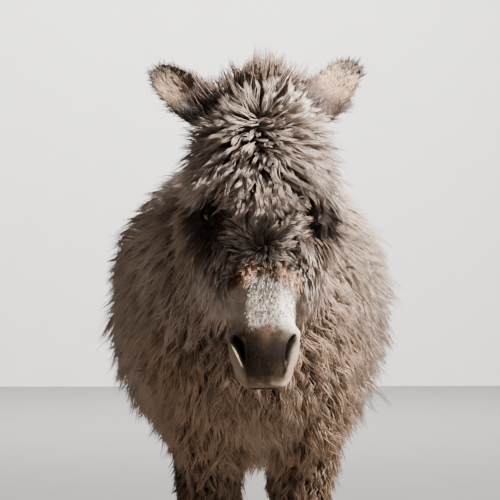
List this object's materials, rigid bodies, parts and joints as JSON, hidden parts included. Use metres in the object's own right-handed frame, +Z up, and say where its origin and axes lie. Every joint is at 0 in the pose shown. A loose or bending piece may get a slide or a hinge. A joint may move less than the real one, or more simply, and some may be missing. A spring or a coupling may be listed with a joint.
{
  "type": "spiti donkey",
  "caption": "Small shaggy mountain donkey in its winter coat, standing square, head low and ears back, as a still life-size animal model.",
  "frame": {"origin": "on the floor under the middle of the whole animal", "axes": "+Z up, the animal faces -Y, its left side is +X"},
  "size_m": [0.5415, 1.3536, 1.1285],
  "materials": {
    "body_coat": "long shaggy winter coat, grey brown",
    "head_coat": "curly coat on the forehead and cheeks, short pale hair on the muzzle",
    "ear_coat": "short soft hair, pale inside",
    "tail_coat": "long coarse hair at the end",
    "leg_coat": "dense hair, darker than the body",
    "eye": "wet and dark",
    "hoof_horn": "horn, dull"
  },
  "bodies": {
    "root": {"torso": "body_coat", "neck": "body_coat", "head": "head_coat", "ear_left": "ear_coat", "ear_right": "ear_coat", "eye_left": "eye", "eye_right": "eye", "tail": "tail_coat", "foreleg_left": "leg_coat", "foreleg_right": "leg_coat", "hindleg_left": "leg_coat", "hindleg_right": "leg_coat", "forehoof_left": "hoof_horn", "forehoof_right": "hoof_horn", "hindhoof_left": "hoof_horn", "hindhoof_right": "hoof_horn"}
  },
  "joints": []
}
